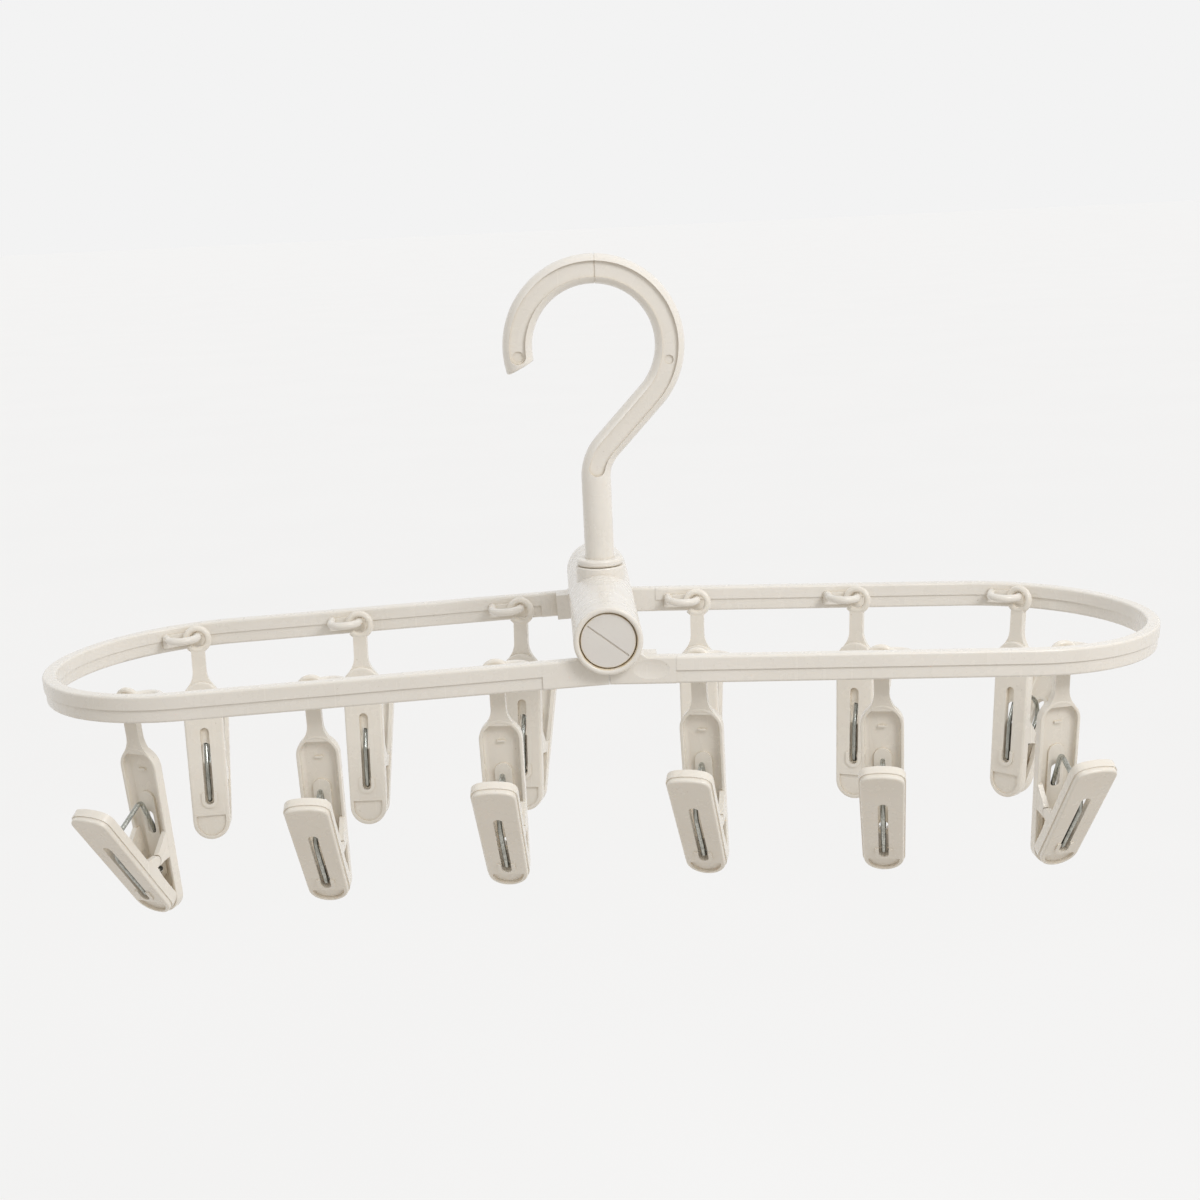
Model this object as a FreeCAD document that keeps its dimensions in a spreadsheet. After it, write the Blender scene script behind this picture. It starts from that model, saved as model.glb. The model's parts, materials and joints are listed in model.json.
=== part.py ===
import FreeCAD, Part
import math
import os

import Sketcher
from FreeCAD import Placement, Rotation, Vector

# Folding clip drying hanger: a hub on a swivelling hook, two U-shaped arms that fold up
# about the hub's front-to-back axle, and twelve spring clips hung on eyelets.
# Frame: +Z up, X along the arms, the front is -Y. The pieces are laid out from the hub's
# vertical axis at the mid height of the rails, and then moved so that the origin is the
# highest point inside the hook, where a rail carries it. Millimetres and degrees.

DIMENSIONS = {
    # hub and axle
    "pivot_height": 11.2, "hub_outer_radius": 11.5, "hub_half_length": 46.4,
    "hub_wall": 2.2, "hub_end_wall": 5.0,
    "neck_radius": 8.8, "neck_top": 24.8, "neck_bore_clearance": 0.08,
    "axle_radius": 3.5, "axle_clearance": 0.06,
    "axle_head_radius": 9.2, "axle_head_thickness": 2.0,
    "head_recess_depth": 3.2, "head_recess_clearance": 0.3,
    "head_groove_width": 0.5, "head_groove_depth": 0.35,
    "cap_radius": 6.4, "cap_thickness": 2.4, "retainer_radius": 6.4, "retainer_thickness": 1.5,
    "neck_underside": 18.0,
    # knuckles of the arm brackets, by distance from the middle plane
    "inner_knuckle_start": 46.6, "inner_knuckle_end": 52.8,
    "outer_knuckle_start": 53.0, "front_knuckle_end": 62.0, "rear_knuckle_end": 57.4,
    "bracket_inset": 0.1, "inner_slab_depth": 4.8, "outer_slab_depth": 4.4,
    "hollow_x": 14.4, "hollow_z": 0.5, "hollow_length": 10.2, "hollow_height": 5.7,
    "hollow_depth": 0.6, "hollow_out": 2.4,
    "bracket_clearance": 0.4, "web_reach": 16.5,
    "crest_width": 10.9, "crest_height": 0.9, "crest_slope": 1.2,
    "butt_gap": 0.2, "arm_droop": 2.0,
    # arm rails
    "half_length": 200.0, "arm_width": 115.0, "rail_height": 9.4, "rail_thickness": 4.8,
    "rail_step": 0.55, "rail_edge_radius": 0.9, "joint_line": 22.6,
    "spigot_length": 8.0, "spigot_width": 1.8, "spigot_height": 5.0, "socket_clearance": 0.1,
    # eyelets
    "eyelet_radius": 5.4, "eyelet_bar_radius": 1.4, "eyelet_height": 1.2,
    "eyelet_depth": 46.4, "eyelet_pitch": 62.0, "front_eyelet_start": 36.0,
    "rear_eyelet_start": 32.7, "front_end_angle": 21.5, "rear_end_angle": 18.0,
    "gusset_depth": 2.4, "gusset_height": 4.8,
    # hook
    "hook_radius": 26.6, "hook_centre_height": 102.6, "hook_centre_offset": 1.2,
    "hook_tip_angle": 198.0, "hook_slant_angle": 43.4, "hook_bend_radius": 16.0,
    "hook_bar_radius": 5.2, "hook_channel_width": 5.6, "hook_channel_depth": 2.1,
    "hook_channel_start_angle": 13.0, "hook_channel_tip_angle": 185.0,
    "hook_cut_x": -25.2, "hook_cut_z": 95.75, "hook_cut_angle": 27.6,
    "tip_dimple_radius": 1.95, "side_dimple_radius": 1.6, "dimple_depth": 0.6,
    "tip_dimple_angle": 185.5, "side_dimple_angle": -12.5,
    "weld_offset": 1.3, "weld_width": 0.5, "weld_depth": 0.25,
    "flange_radius": 8.3, "flange_thickness": 2.6,
    "flange_gap": 0.15, "foot_bottom": 15.0, "foot_groove_bottom": 16.2,
    "foot_groove_top": 17.9, "foot_groove_radius": 3.6,
    # clip jaw, heights below the clip ring's centre
    "clip_length": 77.6, "ring_radius": 4.15, "ring_bar_radius": 1.25, "ring_opening": 42.0,
    "ring_hang_gap": 0.15, "neck_half_width": 2.6, "neck_front": 1.5, "neck_back": 1.1,
    "neck_flare_angle": 45.0, "paddle_top": 16.2, "paddle_half_top": 7.4,
    "paddle_half_bottom": 7.0, "jaw_back": 2.4, "jaw_front": 1.6, "jaw_plate": 1.6,
    "jaw_rim": 1.15, "mouth_height": 8.0, "jaw_edge_radius": 0.9, "trough_radius": 1.6,
    "slot_half_width": 1.7, "slot_top": 34.0, "slot_bottom": 63.8, "opening_top": 40.0,
    "opening_bottom": 48.5,
    "groove_depth": 1.75, "slot_rim_width": 1.3, "slot_rim_height": 0.8, "nub_width": 2.8,
    "nub_height": 24.9,
    "boss_width": 1.3, "boss_height": 0.55, "boss_leg": 3.0,
    "tip_recess_top": 68.2, "tip_recess_depth": 0.8, "tip_recess_margin": 1.5,
    "fulcrum_height": 54.5, "fulcrum_out": 8.5, "nose_radius": 2.0, "nose_clearance": 0.3,
    "cheek_width": 1.8, "cheek_outside": 7.1,
    # clip lever, heights above its tip
    "lever_length": 56.2, "lever_angle": 30.5, "lever_half_top": 7.8,
    "lever_half_bottom": 7.3, "lever_depth": 4.6, "lever_plate": 1.6, "lever_rim": 1.6,
    "lever_step": 0.45, "lever_band": 1.8, "lever_crown_radius": 18.0,
    "lever_corner_radius": 4.2, "lever_wall": 5.4, "lever_trough_start": 10.0,
    "lever_slot_top": 40.5, "lever_groove_top": 20.0, "lever_slot_bottom": 9.6,
    "lever_recess_top": 7.6, "lever_recess_depth": 1.1, "lever_tip_out": 3.4, "mouth_gap": 0.2,
    # clip spring
    "wire_radius": 0.85, "wire_apex_out": 3.3, "wire_apex_height": 35.0,
    "wire_apex_radius": 1.8, "wire_lever_radius": 7.0, "wire_hook_radius": 1.0,
    "wire_hook": 1.9, "wire_hole": 3.6, "wire_bend_radius": 5.0, "wire_jaw_bend": 48.0,
    "wire_lever_bend": 38.8, "wire_jaw_end": 62.3, "wire_lever_end": 11.1,
    "wire_jaw_depth": 1.55, "wire_lever_depth": 0.85,
    # how the clips hang
    "clip_tilt": 6.4, "ring_seat": 0.6,
}

# Each clip: side of the hanger (+1 right, -1 left), side front or rear, position along the
# rail counted from the hub, and its turn about the vertical away from square.
CLIPS = {
    "front_left_outer": ("left", "front", 3, 27.2),
    "front_left_middle": ("left", "front", 2, 3.5),
    "front_left_inner": ("left", "front", 1, 5.3),
    "front_right_inner": ("right", "front", 1, 14.6),
    "front_right_middle": ("right", "front", 2, 10.6),
    "front_right_outer": ("right", "front", 3, -10.6),
    "rear_left_outer": ("left", "rear", 3, -6.2),
    "rear_left_middle": ("left", "rear", 2, 3.8),
    "rear_left_inner": ("left", "rear", 1, 12.1),
    "rear_right_inner": ("right", "rear", 1, 8.8),
    "rear_right_middle": ("right", "rear", 2, 23.8),
    "rear_right_outer": ("right", "rear", 3, 45.0),
}


class Size:
    """A length together with the spreadsheet formula that gives it."""

    def __init__(self, value, formula):
        self.value = value
        self.formula = formula

    def _join(self, other, sign, value):
        formula = other.formula if isinstance(other, Size) else repr(float(other))
        return Size(value, f"({self.formula} {sign} {formula})")

    def __add__(self, other):
        return self._join(other, "+", self.value + number(other))

    def __sub__(self, other):
        return self._join(other, "-", self.value - number(other))

    def __mul__(self, other):
        return self._join(other, "*", self.value * number(other))

    def __truediv__(self, other):
        return self._join(other, "/", self.value / number(other))

    def __neg__(self):
        return Size(-self.value, f"(0 - {self.formula})")


def number(size):
    """The plain value of a Size or a number."""
    return size.value if isinstance(size, Size) else float(size)


def sine(angle):
    return Size(math.sin(math.radians(angle.value)), f"sin({angle.formula} * 1 deg)")


def cosine(angle):
    return Size(math.cos(math.radians(angle.value)), f"cos({angle.formula} * 1 deg)")


def tangent(angle):
    return Size(math.tan(math.radians(angle.value)), f"tan({angle.formula} * 1 deg)")


def root(square):
    return Size(math.sqrt(square.value), f"sqrt({square.formula})")


doc = FreeCAD.newDocument("ClipDryingHanger")
sheet = doc.addObject("Spreadsheet::Sheet", "Sizes")
for row, (alias, length) in enumerate(DIMENSIONS.items(), start=1):
    sheet.set(f"A{row}", alias)
    sheet.set(f"B{row}", str(length))
    sheet.setAlias(f"B{row}", alias)
doc.recompute()

ZERO = Size(0.0, "0")
ONE = Size(1.0, "1")


def size(alias):
    """A driving dimension from the spreadsheet."""
    return Size(float(sheet.get(alias)), f"Sizes.{alias}")


def bind(thing, name, length):
    """Set a property from the sheet, or from a plain number."""
    if isinstance(length, Size):
        thing.setExpression(name, length.formula)
    else:
        setattr(thing, name, length)


# ---------------------------------------------------------------- sketches and features

def new_body(label):
    body = doc.addObject("PartDesign::Body", label)
    body.Label = label
    return body


def origin_plane(body, role):
    return next(item for item in body.Origin.OriginFeatures if item.Role == role)


def new_sketch(body, role, lift=ZERO):
    """A sketch on one of the body's own origin planes, lifted along the plane's normal."""
    sketch = body.newObject("Sketcher::SketchObject", "Sketch")
    sketch.AttachmentSupport = [(origin_plane(body, role), "")]
    sketch.MapMode = "FlatFace"
    bind(sketch, ".AttachmentOffset.Base.z", lift)
    return sketch


def arc_centre(start, end, radius, left):
    """Centre of the arc from start to end that turns left (or right) round it."""
    half = (end - start) * 0.5
    reach = math.sqrt(max(radius * radius - half.Length ** 2, 0.0))
    across = Vector(-half.y, half.x, 0).normalize()
    return start + half + across * (reach if left else -reach)


def outline(sketch, points, arcs=None, closed=True):
    """Draw straight edges, and arcs where `arcs` gives a signed radius, through points.

    arcs maps the index of an edge to a radius: positive turns left, negative turns right.
    Every corner is placed by two dimensions, and every arc by its radius.
    """
    arcs = arcs or {}
    corners = [Vector(number(x), number(y), 0) for x, y in points]
    edges = len(points) if closed else len(points) - 1
    heads = []
    for index in range(edges):
        start = corners[index]
        end = corners[(index + 1) % len(points)]
        if index in arcs:
            radius = number(arcs[index])
            left = radius > 0
            centre = arc_centre(start, end, abs(radius), left)
            first, last = (start, end) if left else (end, start)
            begin = math.atan2(first.y - centre.y, first.x - centre.x)
            finish = math.atan2(last.y - centre.y, last.x - centre.x)
            if finish <= begin:
                finish += 2 * math.pi
            circle = Part.Circle(centre, Vector(0, 0, 1), abs(radius))
            geometry = sketch.addGeometry(Part.ArcOfCircle(circle, begin, finish), False)
            heads.append((geometry, 1 if left else 2, 2 if left else 1))
        else:
            geometry = sketch.addGeometry(Part.LineSegment(start, end), False)
            heads.append((geometry, 1, 2))
    for index in range(edges if closed else edges - 1):
        geometry, _, tail = heads[index]
        following, head, _ = heads[(index + 1) % edges]
        sketch.addConstraint(Sketcher.Constraint("Coincident", geometry, tail, following, head))
    for index, (x, y) in enumerate(points):
        geometry, end = (heads[index][0], heads[index][1]) if index < edges else (
            heads[-1][0], heads[-1][2])
        place_point(sketch, geometry, end, x, y)
    for index, radius in arcs.items():
        geometry = heads[index][0]
        start, end = points[index], points[(index + 1) % len(points)]
        chord = corners[(index + 1) % len(points)] - corners[index]
        if chord.Length > 1.9999 * abs(number(radius)):
            # a half circle is fixed by its centre, which lies midway between its ends
            kind, axis = ("DistanceX", 0) if abs(chord.y) > abs(chord.x) else ("DistanceY", 1)
            hold(sketch, kind, geometry, 3, (start[axis] + end[axis]) / 2)
        else:
            name = sketch.addConstraint(
                Sketcher.Constraint("Radius", geometry, abs(number(radius))))
            if isinstance(radius, Size):
                sketch.setExpression(f"Constraints[{name}]", f"abs({radius.formula})")


def place_point(sketch, geometry, end, x, y):
    """Fix one point of the sketch by its distances from the sketch's origin."""
    hold(sketch, "DistanceX", geometry, end, x)
    hold(sketch, "DistanceY", geometry, end, y)


def hold(sketch, kind, geometry, end, length):
    """Fix one coordinate of a point; a zero puts the point on the sketch's axis."""
    if abs(number(length)) < 1e-9:
        axis = -2 if kind == "DistanceX" else -1
        sketch.addConstraint(Sketcher.Constraint("PointOnObject", geometry, end, axis))
        return
    name = sketch.addConstraint(
        Sketcher.Constraint(kind, -1, 1, geometry, end, number(length)))
    if isinstance(length, Size):
        sketch.setExpression(f"Constraints[{name}]", length.formula)


def circle(sketch, x, y, radius):
    centre = Vector(number(x), number(y), 0)
    geometry = sketch.addGeometry(
        Part.Circle(centre, Vector(0, 0, 1), number(radius)), False)
    place_point(sketch, geometry, 3, x, y)
    name = sketch.addConstraint(Sketcher.Constraint("Radius", geometry, number(radius)))
    if isinstance(radius, Size):
        sketch.setExpression(f"Constraints[{name}]", radius.formula)


def extrude(body, kind, sketch, length, reverse=False, middle=False):
    """A Pad or a Pocket of the sketch."""
    feature = body.newObject(f"PartDesign::{kind}", kind)
    feature.Profile = sketch
    bind(feature, "Length", length)
    feature.Reversed = reverse
    if middle:
        feature.SideType = "Symmetric"
    sketch.Visibility = False
    return feature


def primitive(body, kind, place=None, **sizes):
    """An additive or subtractive primitive at a place, its sizes bound to the sheet."""
    feature = body.newObject(f"PartDesign::{kind}", kind)
    for name, length in sizes.items():
        bind(feature, name, length)
    if place is not None:
        feature.Placement = place
    return feature


def edges_where(feature, test):
    """Names of the feature's edges that pass the test."""
    return [f"Edge{index}" for index, edge in enumerate(feature.Shape.Edges, start=1)
            if test(edge)]


def fillet(body, base, test, radius):
    doc.recompute()
    names = edges_where(base, test)
    feature = body.newObject("PartDesign::Fillet", "Fillet")
    feature.Base = (base, names)
    bind(feature, "Radius", radius)
    return feature


def flat_at(axis, value, slack=1e-3):
    """A test for edges that lie in the plane axis = value."""
    def test(edge):
        box = edge.BoundBox
        low = getattr(box, f"{axis}Min")
        high = getattr(box, f"{axis}Max")
        return abs(low - value) < slack and abs(high - value) < slack
    return test


def cylinder_along(direction, base):
    """Placement of a cylinder whose axis runs from base along direction."""
    return Placement(base, Rotation(Vector(0, 0, 1), direction))


FRONT = Vector(0, -1, 0)
REAR = Vector(0, 1, 0)
UP = Vector(0, 0, 1)
OPPOSITE = {"front": "rear", "rear": "front"}
pivot_point = Vector(0, 0, number(size("pivot_height")))


def arm_place(side):
    """Placement of the right or left arm's pieces: the left one is turned half round."""
    turn = Placement(Vector(), Rotation(UP, 0 if side == "right" else 180))
    droop = number(size("arm_droop")) * (1 if side == "right" else -1)
    return Placement(Vector(), Rotation(REAR, droop), pivot_point) * turn


def rounded_route(points, radii):
    """Points and arcs of a route whose inner corners are rounded by the given radii."""
    route = [points[0]]
    arcs = {}
    for before, corner, after, radius in zip(points, points[1:], points[2:], radii):
        into = unit(before, corner)
        away = unit(corner, after)
        along = into[0] * away[0] + into[1] * away[1]
        trim = radius * root((ONE - along) / (ONE + along))
        side = number(into[0] * away[1] - into[1] * away[0])
        arcs[2 * len(arcs) + 1] = radius if side > 0 else -radius
        route.append((corner[0] - into[0] * trim, corner[1] - into[1] * trim))
        route.append((corner[0] + away[0] * trim, corner[1] + away[1] * trim))
    route.append(points[-1])
    return route, arcs


def unit(start, end):
    """Direction from one point of a sketch to another."""
    across = end[0] - start[0]
    up = end[1] - start[1]
    length = root(across * across + up * up)
    return across / length, up / length


# ---------------------------------------------------------------- arms

def rail_band(body, inset, reverse):
    """Upper or lower half of the rail: a U whose end is a half circle."""
    outer = size("arm_width") / 2 - inset
    inner = size("arm_width") / 2 - size("rail_thickness") + inset
    bend = size("half_length") - size("arm_width") / 2
    start = size("joint_line")
    sketch = new_sketch(body, "XY_Plane")
    outline(sketch, [
        (start, -outer), (bend, -outer), (bend, outer), (start, outer),
        (start, inner), (bend, inner), (bend, -inner), (start, -inner),
    ], {1: outer, 5: -inner})
    return extrude(body, "Pad", sketch, size("rail_height") / 2, reverse=reverse)


def eyelet_places():
    """Places of one arm's six eyelets: legs towards the rail, loop towards the middle."""
    depth = number(size("eyelet_depth"))
    bend = number(size("half_length")) - number(size("arm_width")) / 2
    height = number(size("eyelet_height"))
    places = {}
    for end, sign in (("front", -1), ("rear", 1)):
        base_turn = 0 if sign < 0 else 180
        for index in (1, 2):
            across = number(size(f"{end}_eyelet_start")) + (index - 1) * number(
                size("eyelet_pitch"))
            places[end, index] = Placement(
                Vector(across, sign * depth, height), Rotation(UP, base_turn))
        angle = number(size(f"{end}_end_angle"))
        swing = math.radians(angle)
        centre = Vector(bend + depth * math.sin(swing), sign * depth * math.cos(swing), height)
        places[end, 3] = Placement(centre, Rotation(UP, base_turn - sign * angle))
    return places


def add_eyelet(body, place):
    """A half ring with two legs that run into the rail, and a gusset under its root."""
    bar = size("eyelet_bar_radius")
    radius = size("eyelet_radius")
    wall = size("arm_width") / 2 - size("rail_thickness")
    leg = wall - size("eyelet_depth") + size("rail_thickness") / 4
    primitive(body, "AdditiveTorus", place, Radius1=radius, Radius2=bar, Angle3=180)
    for sign in (-1, 1):
        root_place = place * cylinder_along(FRONT, Vector(sign * number(radius), 0, 0))
        primitive(body, "AdditiveCylinder", root_place, Radius=bar, Height=leg)
    reach = number(leg)
    corner = Vector(-number(radius) - number(bar), -reach, number(bar) * 0.6
                    - number(size("gusset_height")))
    primitive(body, "AdditiveBox", place * Placement(corner, Rotation()),
              Length=(radius + bar) * 2, Width=size("gusset_depth"),
              Height=size("gusset_height"))


def make_rail(side):
    body = new_body(f"{side}_arm_rail")
    rail_band(body, ZERO, reverse=False)
    lower = rail_band(body, size("rail_step"), reverse=True)
    half = number(size("rail_height")) / 2
    joint = flat_at("X", number(size("joint_line")))
    top = flat_at("Z", half)
    bottom = flat_at("Z", -half)
    body.Tip = fillet(body, lower, lambda edge: (top(edge) or bottom(edge)) and not joint(edge),
                      size("rail_edge_radius"))
    for place in eyelet_places().values():
        add_eyelet(body, place)
    gap = size("socket_clearance")
    width = size("spigot_width") + gap * 2
    height = size("spigot_height") + gap * 2
    middle = number(size("arm_width")) / 2 - number(size("rail_thickness")) / 2
    for sign in (-1, 1):
        corner = Vector(number(size("joint_line")), sign * middle - number(width) / 2,
                        -number(height) / 2)
        primitive(body, "SubtractiveBox", Placement(corner, Rotation()),
                  Length=size("spigot_length") + gap, Width=width, Height=height)
    body.Placement = arm_place(side)
    return body


def bracket_profile(body, lift, raised=True, web=False):
    """Side view of a bracket: from the butt face under the axle out to the joint line.

    The butt face lies on a plane through the axle, so that the two arms' brackets meet
    when the arms droop by arm_droop. A raised bracket has a low crest beside its knuckle,
    and the web is the same outline cut short.
    """
    half = size("rail_height") / 2
    slope = tangent(size("arm_droop"))
    low = slope * (size("pivot_height") + half) + size("butt_gap") / 2
    high = slope * (size("pivot_height") - half) + size("butt_gap") / 2
    shoulder = size("crest_width")
    crest = half + size("crest_height")
    reach = size("web_reach" if web else "joint_line")
    points = [(low, -half), (reach, -half), (reach, half)]
    if raised:
        points += [(shoulder + size("crest_slope"), half), (shoulder, crest),
                   (shoulder / 3, crest)]
    points.append((high, half))
    sketch = new_sketch(body, "XZ_Plane", lift)
    outline(sketch, points)
    return sketch


def make_bracket(side, end):
    """One of the four pieces that join a rail's end to the axle.

    In the right arm's frame the front bracket has the inner knuckle and the rear bracket
    has the outer one. The left arm is the same pair turned half round.
    """
    local_end = end if side == "right" else OPPOSITE[end]
    outer_type = local_end == "rear"
    sign = 1 if outer_type else -1
    depth = size("outer_slab_depth" if outer_type else "inner_slab_depth")
    face = size("arm_width") / 2 - size("bracket_inset")
    inside = face - depth
    radius = size("hub_outer_radius")
    half = number(size("rail_height")) / 2
    pivot = number(size("pivot_height"))
    body = new_body(f"{side}_{end}_bracket")
    # the sketch plane's normal is -Y, so a rear slab is lifted by a negative length
    slab = bracket_profile(body, face if sign < 0 else -inside, raised=not outer_type)
    pad = extrude(body, "Pad", slab, depth, reverse=True)

    def long_edge(edge):
        box = edge.BoundBox
        flat = box.ZLength < 1e-3 and box.YLength < 1e-3 and box.XLength > 1.0
        return flat and abs(abs(box.ZMin) - half) < 1e-3

    body.Tip = fillet(body, pad, long_edge, size("rail_edge_radius"))
    if outer_type:
        begin = size("outer_knuckle_start")
        finish = size(f"{end}_knuckle_end")
        direction = REAR
    else:
        begin = size("inner_knuckle_start")
        finish = size("inner_knuckle_end")
        direction = FRONT
        web = bracket_profile(body, inside + 0.5, web=True)
        extrude(body, "Pad", web, inside + 0.5 - begin, reverse=True)
        clear_from = Vector(0, -number(finish), pivot)
        primitive(body, "SubtractiveCylinder", cylinder_along(FRONT, clear_from),
                  Radius=radius + size("bracket_clearance"), Height=20.0)
        hollow = Vector(number(size("hollow_x")), -number(face) - number(size("hollow_out")),
                        number(size("hollow_z")))
        primitive(body, "SubtractiveEllipsoid", Placement(hollow, Rotation()),
                  Radius1=size("hollow_height"), Radius2=size("hollow_length"),
                  Radius3=size("hollow_depth") + size("hollow_out"))
    place = cylinder_along(direction, Vector(0, sign * number(begin), pivot))
    primitive(body, "AdditiveCylinder", place, Radius=radius, Height=finish - begin)
    last = primitive(body, "SubtractiveCylinder", place,
                     Radius=size("axle_radius") + size("axle_clearance"),
                     Height=finish - begin)
    if outer_type:
        rim = flat_at("Y", number(finish))
        if end == "front":
            floor = number(finish) - number(size("head_recess_depth"))
            recess = cylinder_along(REAR, Vector(0, floor, pivot))
            last = primitive(body, "SubtractiveCylinder", recess,
                             Radius=size("axle_head_radius") + size("head_recess_clearance"),
                             Height=size("head_recess_depth"))
            body.Tip = fillet(body, last, rim, 0.95)
    spigot = Vector(number(size("joint_line")), sign * (number(face) + number(inside)) / 2
                    - number(size("spigot_width")) / 2, -number(size("spigot_height")) / 2)
    primitive(body, "AdditiveBox", Placement(spigot, Rotation()),
              Length=size("spigot_length"), Width=size("spigot_width"),
              Height=size("spigot_height"))
    body.Placement = arm_place(side)
    return body


# ---------------------------------------------------------------- hub, axle and hook

def make_hub():
    """Tube with end walls that carry the axle, and a neck that carries the hook."""
    body = new_body("hub_housing")
    pivot = number(size("pivot_height"))
    half = size("hub_half_length")
    end = cylinder_along(REAR, Vector(0, -number(half), pivot))
    tube = primitive(body, "AdditiveCylinder", end,
                     Radius=size("hub_outer_radius"), Height=half * 2)
    body.Tip = fillet(body, tube, lambda edge: edge.BoundBox.YLength < 1e-3, 0.35)
    wall = size("hub_end_wall")
    cavity = cylinder_along(REAR, Vector(0, number(wall) - number(half), pivot))
    primitive(body, "SubtractiveCylinder", cavity,
              Radius=size("hub_outer_radius") - size("hub_wall"), Height=(half - wall) * 2)
    primitive(body, "SubtractiveCylinder", end,
              Radius=size("axle_radius") + size("axle_clearance"), Height=half * 2)
    under = Placement(Vector(0, 0, number(size("neck_underside"))), Rotation())
    neck = primitive(body, "AdditiveCylinder", under, Radius=size("neck_radius"),
                     Height=size("neck_top") - size("neck_underside"))
    top = flat_at("Z", number(size("neck_top")))
    body.Tip = fillet(body, neck, top, 0.5)
    bore = primitive(body, "SubtractiveCylinder", under,
                     Radius=size("hook_bar_radius") + size("neck_bore_clearance"),
                     Height=size("neck_top") - size("neck_underside"))
    body.Tip = bore
    return body


def make_axle():
    """Axle with a flat round head, which has one shallow groove across its face."""
    body = new_body("pivot_axle")
    pivot = number(size("pivot_height"))
    thickness = size("axle_head_thickness")
    floor = size("front_knuckle_end") - size("head_recess_depth") + 0.1
    head_place = cylinder_along(FRONT, Vector(0, -number(floor), pivot))
    head = primitive(body, "AdditiveCylinder", head_place,
                     Radius=size("axle_head_radius"), Height=thickness)
    face = -number(floor) - number(thickness)
    body.Tip = fillet(body, head, flat_at("Y", face), 0.3)
    tail = size("rear_knuckle_end") + size("cap_thickness") + 0.2
    shaft_place = cylinder_along(REAR, Vector(0, -number(floor), pivot))
    primitive(body, "AdditiveCylinder", shaft_place, Radius=size("axle_radius"),
              Height=floor + tail)
    length = size("axle_head_radius") * 1.85
    width = size("head_groove_width")
    depth = size("head_groove_depth")
    groove = Placement(Vector(0, face, pivot), Rotation(REAR, 38.7)) * Placement(
        Vector(-number(length) / 2, 0, -number(width) / 2), Rotation())
    primitive(body, "SubtractiveBox", groove, Length=length, Width=depth, Height=width)
    return body


def make_axle_cap():
    """Push-on cap that holds the axle at the back."""
    cap = doc.addObject("Part::Cut", "axle_cap")
    cap.Label = "axle_cap"
    cap.Base = round_bar("AxleCapDisc", size("cap_radius"), size("cap_thickness"))
    cap.Tool = round_bar("AxleCapBore", size("axle_radius"), size("cap_thickness"))
    start = number(size("rear_knuckle_end")) + 0.2
    cap.Placement = cylinder_along(REAR, Vector(0, start, number(size("pivot_height"))))
    return cap


def round_bar(name, radius, height):
    bar = doc.addObject("Part::Cylinder", name)
    bind(bar, "Radius", radius)
    bind(bar, "Height", height)
    return bar


def make_hook_retainer():
    """Open washer in the groove of the hook's foot, under the hub's neck."""
    washer = doc.addObject("Part::Cut", "HookRetainerRing")
    washer.Base = round_bar("RetainerDisc", size("retainer_radius"), size("retainer_thickness"))
    washer.Tool = round_bar("RetainerBore", size("foot_groove_radius") + 0.05,
                            size("retainer_thickness"))
    mouth = doc.addObject("Part::Box", "RetainerMouth")
    gap = size("foot_groove_radius") * 1.7
    bind(mouth, "Length", size("retainer_radius"))
    bind(mouth, "Width", gap)
    bind(mouth, "Height", size("retainer_thickness"))
    mouth.Placement = Placement(Vector(0, -number(gap) / 2, 0), Rotation())
    retainer = doc.addObject("Part::Cut", "hook_retainer")
    retainer.Label = "hook_retainer"
    retainer.Base = washer
    retainer.Tool = mouth
    retainer.Placement = Placement(
        Vector(0, 0, number(size("foot_groove_bottom")) + 0.1), Rotation())
    return retainer


def circle_point(centre, radius, angle):
    """Point on a circle, at an angle counted from the sketch's X axis."""
    return centre[0] + radius * cosine(angle), centre[1] + radius * sine(angle)


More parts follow.
